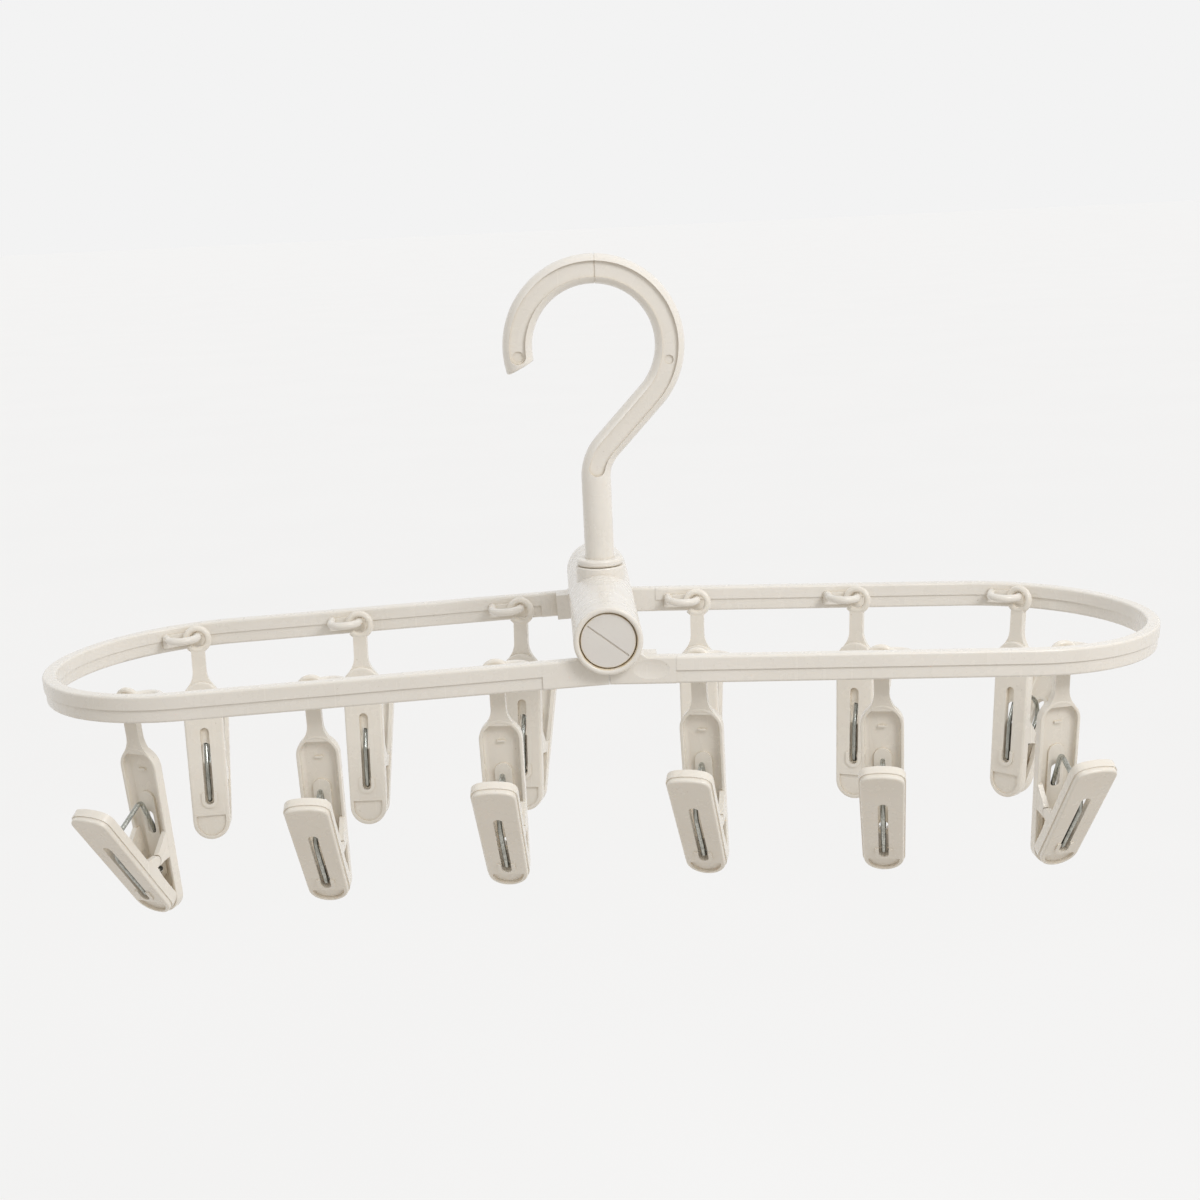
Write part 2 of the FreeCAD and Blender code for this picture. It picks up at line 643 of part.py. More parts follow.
def make_hook():
    """Hook on a round shank, with a flange, a grooved foot and a channel down its front."""
    body = new_body("hook")
    bar = size("hook_bar_radius")
    radius = size("hook_radius")
    bend = size("hook_bend_radius")
    slant = size("hook_slant_angle")
    right = -slant
    centre = (size("hook_centre_offset"), size("hook_centre_height"))
    slant_end = circle_point(centre, radius, right)
    corner = slant_end[1] - slant_end[0] / tangent(slant)
    bend_start = corner - bend * tangent(slant / 2)
    bend_centre = (bend, bend_start)
    straight = Size(180.0, "180")
    quarter = Size(90.0, "90")

    spine = new_sketch(body, "XZ_Plane")
    foot_top = size("neck_top") + size("flange_gap") + 1.0
    outline(spine, [
        (ZERO, foot_top), (ZERO, bend_start),
        circle_point(bend_centre, bend, straight - slant), slant_end,
        circle_point(centre, radius, quarter),
        circle_point(centre, radius, size("hook_tip_angle")),
    ], {1: -bend, 3: radius, 4: radius}, closed=False)
    section = new_sketch(body, "XY_Plane", foot_top)
    circle(section, ZERO, ZERO, bar)
    doc.recompute()
    pipe = body.newObject("PartDesign::AdditivePipe", "Bar")
    pipe.Profile = section
    pipe.Spine = (spine, [f"Edge{index}" for index in range(1, 6)])
    doc.recompute()
    beyond = Placement(
        Vector(number(size("hook_cut_x")), 0, number(size("hook_cut_z"))),
        Rotation(REAR, -number(size("hook_cut_angle"))))
    block = bar * 4
    cut = primitive(body, "SubtractiveBox", beyond * Placement(
        Vector(-number(block) / 2, -number(block) / 2, -number(block)), Rotation()),
        Length=block, Width=block, Height=block)
    doc.recompute()
    cut_line = Vector(math.cos(math.radians(number(size("hook_cut_angle")))), 0,
                      math.sin(math.radians(number(size("hook_cut_angle")))))
    cut_face = cut_line.cross(REAR)

    def tip_edge(edge):
        """True for edges that lie in the oblique face at the hook's tip."""
        return all(abs((vertex.Point - beyond.Base).dot(cut_face)) < 1e-2
                   for vertex in edge.Vertexes) and edge.BoundBox.DiagonalLength > 4

    body.Tip = fillet(body, cut, tip_edge, 0.8)

    half = size("hook_channel_width") / 2
    begin = straight - size("hook_channel_start_angle")
    finish = size("hook_channel_tip_angle")
    channel = new_sketch(body, "XZ_Plane", bar - size("hook_channel_depth"))
    outline(channel, [
        circle_point(bend_centre, bend + half, begin),
        circle_point(bend_centre, bend + half, straight - slant),
        circle_point(centre, radius - half, right),
        circle_point(centre, radius - half, quarter),
        circle_point(centre, radius - half, finish),
        circle_point(centre, radius + half, finish),
        circle_point(centre, radius + half, quarter),
        circle_point(centre, radius + half, right),
        circle_point(bend_centre, bend - half, straight - slant),
        circle_point(bend_centre, bend - half, begin),
    ], {0: -(bend + half), 2: radius - half, 3: radius - half, 4: -half,
        5: -(radius + half), 6: -(radius + half), 8: bend - half, 9: -half})
    extrude(body, "Pocket", channel, size("hook_channel_depth") + 1.0, reverse=True)
    floor = number(bar) - number(size("hook_channel_depth"))
    for end in ("tip", "side"):
        spot = circle_point(centre, radius, size(f"{end}_dimple_angle"))
        dimple = Vector(number(spot[0]), number(size("dimple_depth")) - floor, number(spot[1]))
        primitive(body, "SubtractiveCylinder", cylinder_along(FRONT, dimple),
                  Radius=size(f"{end}_dimple_radius"), Height=size("dimple_depth") + 0.5)
    weld_x = number(centre[0]) + number(size("weld_offset"))
    weld_z = number(centre[1]) + number(radius)
    across = Placement(Vector(weld_x, 0, weld_z), Rotation(UP, Vector(1, 0, 0)))
    primitive(body, "SubtractiveTorus", across,
              Radius1=bar + size("weld_width") / 2 - size("weld_depth"),
              Radius2=size("weld_width") / 2)
    seam = Vector(weld_x - number(size("weld_width")) / 2, -floor,
                  weld_z - number(half) - 0.5)
    primitive(body, "SubtractiveBox", Placement(seam, Rotation()),
              Length=size("weld_width"), Width=size("weld_depth"), Height=half * 2 + 1.0)

    flange_bottom = size("neck_top") + size("flange_gap")
    flange = primitive(body, "AdditiveCylinder",
                       Placement(Vector(0, 0, number(flange_bottom)), Rotation()),
                       Radius=size("flange_radius"), Height=size("flange_thickness"))
    low = flat_at("Z", number(flange_bottom))
    high = flat_at("Z", number(flange_bottom) + number(size("flange_thickness")))
    body.Tip = fillet(body, flange, lambda edge: (low(edge) or high(edge))
                      and edge.BoundBox.XLength > 12, 1.0)
    for start, end, thick in (
            (size("foot_bottom"), size("foot_groove_bottom"), bar),
            (size("foot_groove_bottom"), size("foot_groove_top"), size("foot_groove_radius")),
            (size("foot_groove_top"), flange_bottom + 0.5, bar)):
        primitive(body, "AdditiveCylinder", Placement(Vector(0, 0, number(start)), Rotation()),
                  Radius=thick, Height=end - start)
    return body


# ---------------------------------------------------------------- clips

def slot_outline(sketch, low, high, half):
    """Upright slot with round ends."""
    outline(sketch, [
        (half, low + half), (half, high - half), (ZERO, high),
        (-half, high - half), (-half, low + half), (ZERO, low),
    ], {1: half, 2: half, 4: half, 5: half})


def boss_outline(sketch, low, half, width, leg):
    """Half ring round the lower end of a slot, with two short legs."""
    centre = low + half
    outer = half + width
    outline(sketch, [
        (half, centre + leg), (outer, centre + leg), (outer, centre), (ZERO, centre - outer),
        (-outer, centre), (-outer, centre + leg), (-half, centre + leg), (-half, centre),
        (ZERO, centre - half), (half, centre),
    ], {2: -outer, 3: -outer, 7: half, 8: half})


def tip_recess(sketch, half, centre, top):
    """D-shaped outline that follows a round tip."""
    outline(sketch, [
        (half, top), (-half, top), (-half, centre), (ZERO, centre - half), (half, centre),
    ], {2: half, 3: half})


def make_jaw(label, place):
    """Back half of a clip: ring, neck and a paddle hollowed from the front."""
    body = new_body(label)
    back = size("jaw_back")
    front = size("jaw_front")
    floor = back - size("jaw_plate")
    half_top = size("paddle_half_top")
    half_low = size("paddle_half_bottom")
    high = -size("paddle_top") - half_top
    low = half_low - size("clip_length")
    mouth = size("mouth_height") - size("clip_length")

    paddle = new_sketch(body, "XZ_Plane", -back)
    outline(paddle, [
        (half_top, high), (ZERO, high + half_top), (-half_top, high),
        (-half_low, low), (ZERO, low - half_low), (half_low, low),
    ], {0: half_top, 1: half_top, 3: half_low, 4: half_low})
    pad = extrude(body, "Pad", paddle, back + front)
    body.Tip = fillet(body, pad, flat_at("Y", number(back)), size("jaw_edge_radius"))

    inner_top = half_top - size("jaw_rim")
    inner_low = half_low - size("jaw_rim") + (half_top - half_low) * (
        (mouth - low) / (high - low))
    trough = new_sketch(body, "XZ_Plane", front)
    outline(trough, [
        (inner_top, high), (ZERO, high + inner_top), (-inner_top, high),
        (-inner_low, mouth), (inner_low, mouth),
    ], {0: inner_top, 1: inner_top})
    hollow = extrude(body, "Pocket", trough, front + floor)
    body.Tip = fillet(body, hollow, flat_at("Y", number(floor)), size("trough_radius"))
    rim = body.Tip
    body.Tip = fillet(body, rim, flat_at("Y", -number(front)), 0.35)

    slot_half = size("slot_half_width")
    rim_width = size("slot_rim_width")
    slot_rim = new_sketch(body, "XZ_Plane", -floor)
    slot_outline(slot_rim, -size("slot_bottom") - rim_width, -size("slot_top") + rim_width,
                 slot_half + rim_width)
    extrude(body, "Pad", slot_rim, size("slot_rim_height"))
    nub = size("nub_width")
    nub_place = Vector(-number(nub) / 2, number(floor) - number(size("slot_rim_height")),
                       -number(size("nub_height")))
    primitive(body, "AdditiveBox", Placement(nub_place, Rotation()),
              Length=nub, Width=size("slot_rim_height") + 0.2, Height=nub / 4)
    wire_hole = size("wire_hole") - size("slot_bottom")
    for low_end, high_end in ((-size("opening_bottom"), -size("opening_top")),
                              (-size("slot_bottom"), wire_hole)):
        slot = new_sketch(body, "XZ_Plane", front)
        slot_outline(slot, low_end, high_end, slot_half)
        extrude(body, "Pocket", slot, front + back)
    groove = new_sketch(body, "XZ_Plane", -back)
    slot_outline(groove, -size("slot_bottom"), -size("slot_top"), slot_half)
    extrude(body, "Pocket", groove, size("groove_depth"), reverse=True)
    boss = new_sketch(body, "XZ_Plane", -back)
    boss_outline(boss, -size("slot_bottom"), slot_half, size("boss_width"), size("boss_leg"))
    extrude(body, "Pad", boss, size("boss_height"), reverse=True)
    recess = new_sketch(body, "XZ_Plane", -back)
    tip_recess(recess, half_low - size("tip_recess_margin"), low, -size("tip_recess_top"))
    extrude(body, "Pocket", recess, size("tip_recess_depth"), reverse=True)

    out = size("fulcrum_out")
    height = size("fulcrum_height")
    notch = size("nose_radius") + size("nose_clearance")
    lip = Size(60.0, "60")
    fin = [
        (floor, -height + 8.0), (-front, -height + 8.0),
        circle_point((-out, -height), notch, lip), circle_point((-out, -height), notch, -lip),
        (-front - 3.0, -height - 1.4), (-front, -height - 1.2), (floor, -height - 1.2),
    ]
    add_cheeks(body, fin, {2: -notch})

    neck_half = size("neck_half_width")
    flare = cosine(size("neck_flare_angle"))
    sweep = (half_top * flare - neck_half) / (ONE - flare)
    shoulder = high + half_top * flare
    root_height = -size("ring_radius") + 0.5
    neck = new_sketch(body, "XZ_Plane", -size("neck_back"))
    outline(neck, [
        (neck_half, root_height), (-neck_half, root_height),
        (-neck_half, shoulder + sweep * flare), (-half_top * flare, shoulder),
        (half_top * flare, shoulder), (neck_half, shoulder + sweep * flare),
    ], {2: -sweep, 4: -sweep})
    extrude(body, "Pad", neck, size("neck_back") + size("neck_front"))
    turned = Placement(Vector(), Rotation(Vector(1, 0, 0), 90) * Rotation(UP, 1))
    primitive(body, "AdditiveTorus", turned, Radius1=size("ring_radius"),
              Radius2=size("ring_bar_radius"), Angle3=Size(360.0, "360") - size("ring_opening"))
    body.Placement = place
    return body


def add_cheeks(body, points, arcs):
    """Two fins of the same side view, one at each edge of the clip."""
    outside = size("cheek_outside")
    width = size("cheek_width")
    for lift in (outside - width, -outside):
        fin = new_sketch(body, "YZ_Plane", lift)
        outline(fin, points, arcs)
        extrude(body, "Pad", fin, width)


def lever_outline(sketch, inset, start=None):
    """Front view of the lever: round tip or a straight start, and a crowned top."""
    half_low = size("lever_half_bottom") - inset
    half_top = size("lever_half_top") - inset
    tip = size("lever_half_bottom")
    corner = size("lever_corner_radius") - inset
    crown = size("lever_crown_radius") - inset
    crown_centre = size("lever_length") - size("lever_crown_radius")
    spread = half_top - corner
    rise = root((crown - corner) * (crown - corner) - spread * spread)
    reach = crown / (crown - corner)
    touch_x = spread * reach
    touch_z = crown_centre + rise * reach
    side_z = crown_centre + rise
    arcs = {}
    if start is None:
        points = [(-half_low, tip), (ZERO, tip - half_low), (half_low, tip)]
        arcs = {0: half_low, 1: half_low}
    else:
        points = [(-half_low, start), (half_low, start)]
    first = len(points)
    points += [(half_top, side_z), (touch_x, touch_z), (-touch_x, touch_z),
               (-half_top, side_z)]
    arcs.update({first: corner, first + 1: crown, first + 2: corner})
    outline(sketch, points, arcs)


def make_lever(label, place):
    """Front half of a clip: thumb plate, hollow back, tip block and pivot noses."""
    body = new_body(label)
    band = size("lever_band")
    depth = size("lever_depth")
    half_low = size("lever_half_bottom")

    plate = new_sketch(body, "XZ_Plane", -band)
    lever_outline(plate, size("lever_step"))
    pad = extrude(body, "Pad", plate, band)
    body.Tip = fillet(body, pad, flat_at("Y", 0.0), 0.7)
    inner = new_sketch(body, "XZ_Plane", -depth)
    lever_outline(inner, ZERO)
    extrude(body, "Pad", inner, depth - band)

    seat = tilt_to_lever(-size("jaw_front") - size("mouth_gap"),
                         size("mouth_height") - size("clip_length"))
    toe = seat[0] - (seat[1] + 1.0) * tangent(size("lever_angle"))
    block = new_sketch(body, "XZ_Plane", -seat[0])
    block_top = size("lever_trough_start") + 8.0
    outline(block, [
        (-half_low, half_low), (ZERO, ZERO), (half_low, half_low),
        (half_low, block_top), (-half_low, block_top),
    ], {0: half_low, 1: half_low})
    extrude(body, "Pad", block, seat[0] - band)
    wall = size("lever_wall")
    knee = size("lever_trough_start")
    shave = new_sketch(body, "YZ_Plane")
    outline(shave, [
        (toe, -ONE), seat, (wall, knee), (wall, block_top - 2.0), (depth, block_top),
        (depth, block_top + 1.0), (seat[0] + 3.0, block_top + 1.0), (seat[0] + 3.0, -ONE),
    ])
    extrude(body, "Pocket", shave, half_low * 4, middle=True)
    trough = new_sketch(body, "XZ_Plane", -seat[0])
    lever_outline(trough, size("lever_rim"), knee)
    floor = size("lever_plate")
    hollow = extrude(body, "Pocket", trough, seat[0] - floor, reverse=True)
    body.Tip = fillet(body, hollow, flat_at("Y", number(floor)), 1.2)

    slot_half = size("slot_half_width")
    rim_width = size("slot_rim_width")
    slot_rim = new_sketch(body, "XZ_Plane", -floor - size("slot_rim_height"))
    slot_outline(slot_rim, size("lever_slot_bottom") - rim_width,
                 size("lever_slot_top") + rim_width, slot_half + rim_width)
    extrude(body, "Pad", slot_rim, size("slot_rim_height") + 0.2)
    wire_hole = size("lever_slot_bottom") + size("wire_hole")
    for low_end, high_end in ((size("lever_groove_top"), size("lever_slot_top")),
                              (size("lever_slot_bottom"), wire_hole)):
        slot = new_sketch(body, "XZ_Plane")
        slot_outline(slot, low_end, high_end, slot_half)
        extrude(body, "Pocket", slot, depth)
    groove = new_sketch(body, "XZ_Plane")
    slot_outline(groove, size("lever_slot_bottom"), size("lever_slot_top"), slot_half)
    extrude(body, "Pocket", groove, size("groove_depth"))
    boss = new_sketch(body, "XZ_Plane")
    boss_outline(boss, size("lever_slot_bottom"), slot_half, size("boss_width"),
                 size("boss_leg"))
    extrude(body, "Pad", boss, size("boss_height"))
    recess = new_sketch(body, "XZ_Plane")
    recess_half = half_low - size("tip_recess_margin") - size("lever_step")
    tip_recess(recess, recess_half, half_low - 0.3, size("lever_recess_top"))
    extrude(body, "Pocket", recess, size("lever_recess_depth"))

    fulcrum = tilt_to_lever(-size("fulcrum_out"), -size("fulcrum_height"))
    nose = size("nose_radius")
    fin = [
        (floor, block_top - 3.5), (wall, block_top - 3.5),
        circle_point(fulcrum, nose, Size(-125.0, "-125")),
        circle_point(fulcrum, nose, Size(-25.0, "-25")),
        circle_point(fulcrum, nose, Size(75.0, "75")),
        (depth, fulcrum[1] + 4.0), (floor, fulcrum[1] + 4.0),
    ]
    add_cheeks(body, fin, {2: nose, 3: nose})
    lean = Rotation(Vector(1, 0, 0), number(size("lever_angle")))
    foot = Vector(0, -number(size("lever_tip_out")), -number(size("clip_length")))
    body.Placement = place * Placement(foot, lean)
    return body


def tilt_to_lever(out, height):
    """A point of the clip's side view in the lever's own frame."""
    angle = size("lever_angle")
    across = out + size("lever_tip_out")
    up = height + size("clip_length")
    return (across * cosine(angle) + up * sine(angle),
            up * cosine(angle) - across * sine(angle))


def tilt_to_clip(depth, height):
    """A point of the lever's own frame in the clip's side view."""
    angle = size("lever_angle")
    return (depth * cosine(angle) - height * sine(angle) - size("lever_tip_out"),
            depth * sine(angle) + height * cosine(angle) - size("clip_length"))


def make_spring(label, place):
    """Bent wire: up the jaw's outer groove, over the pivot and down the lever's groove.

    Both ends are hooked inwards, through a hole at the end of each groove.
    """
    body = new_body(label)
    bend = size("wire_bend_radius")
    hook_radius = size("wire_hook_radius")
    jaw_depth = size("wire_jaw_depth")
    jaw_end = -size("wire_jaw_end")
    lever_depth = size("wire_lever_depth")
    lever_end = size("wire_lever_end")
    start = (jaw_depth - size("wire_hook"), jaw_end)
    route, arcs = rounded_route([
        start, (jaw_depth, jaw_end), (jaw_depth, -size("wire_jaw_bend")),
        (-size("wire_apex_out"), -size("wire_apex_height")),
        tilt_to_clip(lever_depth, size("wire_lever_bend")),
        tilt_to_clip(lever_depth, lever_end),
        tilt_to_clip(lever_depth + size("wire_hook"), lever_end),
    ], [hook_radius, bend, size("wire_apex_radius"), size("wire_lever_radius"), hook_radius])
    spine = new_sketch(body, "YZ_Plane")
    outline(spine, route, arcs, closed=False)
    section = new_sketch(body, "XZ_Plane", -start[0])
    circle(section, ZERO, jaw_end, size("wire_radius"))
    doc.recompute()
    pipe = body.newObject("PartDesign::AdditivePipe", "Wire")
    pipe.Profile = section
    pipe.Spine = (spine, [f"Edge{index}" for index in range(1, len(route))])
    body.Placement = place
    return body


def clip_place(side, end, index, turn):
    """Where a clip's ring hangs on its eyelet, and how the clip is turned and tilted."""
    local_end = end if side == "right" else OPPOSITE[end]
    leg = Vector(-number(size("eyelet_radius")), -number(size("ring_seat")), 0)
    seat = (arm_place(side) * eyelet_places()[local_end, index]).multVec(leg)
    drop = (number(size("ring_radius")) - number(size("ring_bar_radius"))
            - number(size("eyelet_bar_radius")) - number(size("ring_hang_gap")))
    facing = 0 if end == "front" else 180
    hang = Rotation(UP, facing - turn) * Rotation(Vector(1, 0, 0), number(size("clip_tilt")))
    return Placement(seat - Vector(0, 0, drop), hang)


# ---------------------------------------------------------------- build and write

nodes = [make_hook(), make_hook_retainer(), make_hub(), make_axle(), make_axle_cap()]
for side in ("left", "right"):
    nodes.append(make_rail(side))
    nodes += [make_bracket(side, end) for end in ("front", "rear")]
for name, (side, end, index, turn) in CLIPS.items():
    place = clip_place(side, end, index, turn)
    nodes.append(make_jaw(f"{name}_jaw", place))
    nodes.append(make_lever(f"{name}_lever", place))
    nodes.append(make_spring(f"{name}_spring", place))
hook_seat = Vector(number(size("hook_centre_offset")), 0, number(
    size("hook_centre_height") + size("hook_radius") - size("hook_bar_radius")))
for node in nodes:
    node.Placement = Placement(-hook_seat, Rotation()) * node.Placement
doc.recompute()

for thing in doc.Objects:
    if "Invalid" in thing.State or "Error" in thing.State:
        raise RuntimeError(f"{thing.Label}: {thing.State}")
for node in nodes:
    if node.Shape.isNull() or not node.Shape.isValid() or len(node.Shape.Solids) != 1:
        raise RuntimeError(f"{node.Label}: bad shape")
os.makedirs("parts", exist_ok=True)
for node in nodes:
    node.Shape.exportStep(f"parts/{node.Label}.step")
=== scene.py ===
import json
import math

import bmesh
import bpy
from mathutils import Matrix, Vector


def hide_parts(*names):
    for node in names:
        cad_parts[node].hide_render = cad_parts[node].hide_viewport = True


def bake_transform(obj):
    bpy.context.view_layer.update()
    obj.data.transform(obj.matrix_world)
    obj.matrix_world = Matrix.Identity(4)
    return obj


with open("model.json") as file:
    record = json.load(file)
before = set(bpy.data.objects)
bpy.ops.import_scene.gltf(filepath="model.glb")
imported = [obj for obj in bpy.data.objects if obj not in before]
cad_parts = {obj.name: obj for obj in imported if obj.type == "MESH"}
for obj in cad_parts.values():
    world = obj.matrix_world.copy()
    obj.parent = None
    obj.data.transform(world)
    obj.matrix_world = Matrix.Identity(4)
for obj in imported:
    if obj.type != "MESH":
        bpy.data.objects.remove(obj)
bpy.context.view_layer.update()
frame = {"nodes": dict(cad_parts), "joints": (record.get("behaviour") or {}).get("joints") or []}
scene = bpy.context.scene
joints = {joint["name"]: joint for joint in frame["joints"]}
CLIPS = sorted(name[:-len("_spring")] for name in frame["nodes"] if name.endswith("_spring"))


# ---------------------------------------------------------------- materials

class Graph:
    """A material's node tree, with short calls for adding and joining nodes."""

    def __init__(self, name):
        self.material = bpy.data.materials.new(name)
        self.material.use_nodes = True
        self.tree = self.material.node_tree
        self.shader = self.tree.nodes["Principled BSDF"]
        self.place = self.add("ShaderNodeTexCoord").outputs["Object"]

    def add(self, kind, **settings):
        node = self.tree.nodes.new(kind)
        for key, value in settings.items():
            setattr(node, key, value)
        return node

    def join(self, source, target):
        self.tree.links.new(source, target)

    def noise(self, scale, detail=3.0, roughness=0.5, stretch=(1, 1, 1)):
        stretched = self.add("ShaderNodeMapping")
        stretched.inputs["Scale"].default_value = stretch
        self.join(self.place, stretched.inputs["Vector"])
        node = self.add("ShaderNodeTexNoise")
        node.inputs["Scale"].default_value = scale
        node.inputs["Detail"].default_value = detail
        node.inputs["Roughness"].default_value = roughness
        self.join(stretched.outputs["Vector"], node.inputs["Vector"])
        return node.outputs["Fac"]

    def span(self, source, low, high, to_low, to_high):
        node = self.add("ShaderNodeMapRange")
        for key, value in (("From Min", low), ("From Max", high),
                           ("To Min", to_low), ("To Max", to_high)):
            node.inputs[key].default_value = value
        self.join(source, node.inputs["Value"])
        return node.outputs["Result"]

    def math(self, operation, first, second):
        node = self.add("ShaderNodeMath", operation=operation)
        for socket, value in zip(node.inputs, (first, second)):
            if isinstance(value, (int, float)):
                socket.default_value = value
            else:
                self.join(value, socket)
        return node.outputs["Value"]

    def mix(self, factor, first, second):
        node = self.add("ShaderNodeMix", data_type="RGBA")
        self.join(factor, node.inputs["Factor"])
        for socket, value in zip((node.inputs["A"], node.inputs["B"]), (first, second)):
            if isinstance(value, tuple):
                socket.default_value = (*value, 1.0)
            else:
                self.join(value, socket)
        return node.outputs["Result"]

    def bump(self, height, distance, strength=1.0, below=None):
        node = self.add("ShaderNodeBump")
        node.inputs["Distance"].default_value = distance
        node.inputs["Strength"].default_value = strength
        self.join(height, node.inputs["Height"])
        if below is not None:
            self.join(below, node.inputs["Normal"])
        return node.outputs["Normal"]


# yellow-brown colour of the painted shade ring about the axle
RING_SHADE = (0.58, 0.45, 0.25)
SPECK = (0.36, 0.29, 0.22)
# colour tint of the painted shade in corners and creases
CORNER_SHADE_TINT = (0.72, 0.655, 0.55)
# warm tint of the painted shade in hollows and under other parts
WARM_SHADE_TINT = (0.97, 0.925, 0.85)
# dark colour of the painted shade on the wire where slot walls crowd it
SLOT_SHADE = (0.03, 0.03, 0.027)


def tinted(colour, tint):
    return tuple(channel * part for channel, part in zip(colour, tint))


def shade_ring(g, base, centre, inner, outer):
    """Yellow-brown painted shade in a ring about the front-to-back axle, between two radii."""
    shifted = g.add("ShaderNodeMapping")
    shifted.inputs["Location"].default_value = (-centre.x, 0.0, -centre.z)
    shifted.inputs["Scale"].default_value = (1.0, 0.0, 1.0)
    g.join(g.place, shifted.inputs["Vector"])
    reach = g.add("ShaderNodeVectorMath", operation="LENGTH")
    g.join(shifted.outputs["Vector"], reach.inputs[0])
    distance = reach.outputs["Value"]
    mask = g.math("MULTIPLY",
                  g.span(distance, inner - 0.0001, inner + 0.0002, 0, 1),
                  g.span(distance, outer - 0.0002, outer + 0.0001, 1, 0))
    uneven = g.span(g.noise(260.0, 2.0), 0.35, 0.62, 0.35, 0.95)
    return g.mix(g.math("MULTIPLY", mask, uneven), base, RING_SHADE)


def moulded_plastic(name, light, shade, roughness, translucency, ring=None):
    """Satin moulded plastic: flow marks, orange peel, scuffs and specks, with painted shade in
    corners and creases and a warm painted shade in hollows.
    """
    g = Graph(name)
    flow = g.noise(38.0, 4.0, 0.55, (0.5, 1.0, 1.0))
    base = g.mix(g.span(flow, 0.35, 0.68, 0.0, 1.0), light, shade)
    # painted shade: corners and creases are darkened by short-range occlusion, made uneven by
    # noise
    corner = g.add("ShaderNodeAmbientOcclusion", samples=6, only_local=True)
    corner.inputs["Distance"].default_value = 0.0022
    corner_shade = g.math("MULTIPLY", g.span(corner.outputs["AO"], 0.20, 0.62, 0.8, 0.0),
                   g.span(g.noise(210.0, 3.0), 0.3, 0.7, 0.35, 1.0))
    # painted shade: hollows and faces under other parts are tinted warmer and darker by wider
    # occlusion
    wide = g.add("ShaderNodeAmbientOcclusion", samples=6)
    wide.inputs["Distance"].default_value = 0.014
    base = g.mix(g.span(wide.outputs["AO"], 0.15, 0.70, 1.0, 0.0), base,
                 tinted(shade, WARM_SHADE_TINT))
    base = g.mix(corner_shade, base, tinted(shade, CORNER_SHADE_TINT))
    speck = g.span(g.noise(950.0, 2.0, 0.6), 0.725, 0.765, 0.0, 0.45)
    base = g.mix(speck, base, SPECK)
    # a yellow-brown ring of painted shade about the axle
    if ring is not None:
        base = shade_ring(g, base, *ring)
    g.join(base, g.shader.inputs["Base Color"])
    gloss = g.span(g.noise(120.0, 5.0, 0.6), 0.3, 0.7, roughness - 0.05, roughness + 0.08)
    scuff = g.span(g.noise(420.0, 2.0, 0.5, (1.0, 1.0, 0.06)), 0.64, 0.7, 0.0, 0.16)
    g.join(g.math("ADD", gloss, scuff), g.shader.inputs["Roughness"])
    peel = g.bump(g.noise(520.0, 2.0, 0.4), 0.00003, 0.25)
    wave = g.bump(g.noise(70.0, 2.0, 0.4), 0.0002, 0.2, below=peel)
    g.join(wave, g.shader.inputs["Normal"])
    g.shader.inputs["IOR"].default_value = 1.49
    g.shader.inputs["Subsurface Weight"].default_value = translucency
    g.shader.inputs["Subsurface Radius"].default_value = (1.0, 0.92, 0.8)
    g.shader.inputs["Subsurface Scale"].default_value = 0.0012
    return g.material


def spring_wire():
    """Drawn, zinc-plated wire: bright metal with lengthwise drawing marks that double as painted
    reflection streaks, a few dull patches, and painted dark shade where slot walls crowd it.
    """
    g = Graph("zinc_spring_wire")
    patch = g.noise(260.0, 3.0, 0.6)
    # lengthwise drawing marks on the wire, which also serve as painted reflection streaks in the
    # base colour
    drawn_lines_and_painted_streaks = g.noise(1500.0, 2.0, 0.5, (1, 1, 0.04))
    base = g.mix(g.span(drawn_lines_and_painted_streaks, 0.35, 0.65, 0.0, 1.0), (0.62, 0.65, 0.63), (0.36, 0.38, 0.37))
    base = g.mix(g.span(patch, 0.54, 0.68, 0.0, 0.6), base, (0.34, 0.35, 0.32))
    # painted shade: the wire turns dark where slot walls crowd it
    crowd = g.add("ShaderNodeAmbientOcclusion", samples=8)
    crowd.inputs["Distance"].default_value = 0.0016
    base = g.mix(g.span(crowd.outputs["AO"], 0.30, 0.90, 1.0, 0.0), base, SLOT_SHADE)
    g.join(base, g.shader.inputs["Base Color"])
    g.shader.inputs["Metallic"].default_value = 1.0
    g.join(g.span(patch, 0.3, 0.7, 0.16, 0.32), g.shader.inputs["Roughness"])
    g.join(g.bump(drawn_lines_and_painted_streaks, 0.00002, 0.5), g.shader.inputs["Normal"])
    return g.material


def axle_ring(name, inner, outer):
    """The axle's centre in a node's own frame, and two radii about it."""
    return frame["nodes"][name].matrix_world.inverted() @ AXLE, inner, outer


AXLE = Vector(joints["left_arm_fold"]["pos_m"])
WHITE = ((0.825, 0.80, 0.76), (0.79, 0.765, 0.72), 0.26, 0.12)
white = moulded_plastic("white_plastic", *WHITE)
clip_white = moulded_plastic("clip_plastic", (0.83, 0.80, 0.745), (0.80, 0.765, 0.705),
                             0.24, 0.16)
axle_white = moulded_plastic("axle_plastic", (0.76, 0.745, 0.72), (0.73, 0.712, 0.69),
                             0.36, 0.08, axle_ring("pivot_axle", 0.0089, 0.0094))
knuckle_white = moulded_plastic("knuckle_plastic", *WHITE,
                                axle_ring("left_front_bracket", 0.0094, 0.0098))
wire = spring_wire()


# ---------------------------------------------------------------- carried-over CAD nodes

for name, node in frame["nodes"].items():
    material = white
    if name.endswith(("_jaw", "_lever")):
        material = clip_white
    elif name.startswith(("pivot_axle", "axle_cap")):
        material = axle_white
    elif name == "left_front_bracket":
        material = knuckle_white
    for slot in node.material_slots:
        slot.material = material


# ---------------------------------------------------------------- spring wires

# a clip's side view in metres; pairs are (Y, Z) from the centre of its ring
RING_DROP = 0.00135
FULCRUM = (-0.0085, -0.0545)
WIRE_RADIUS = 0.00085
LEVER_LEAN = math.radians(30.5)
LEVER_FOOT = (-0.0034, -0.0776)


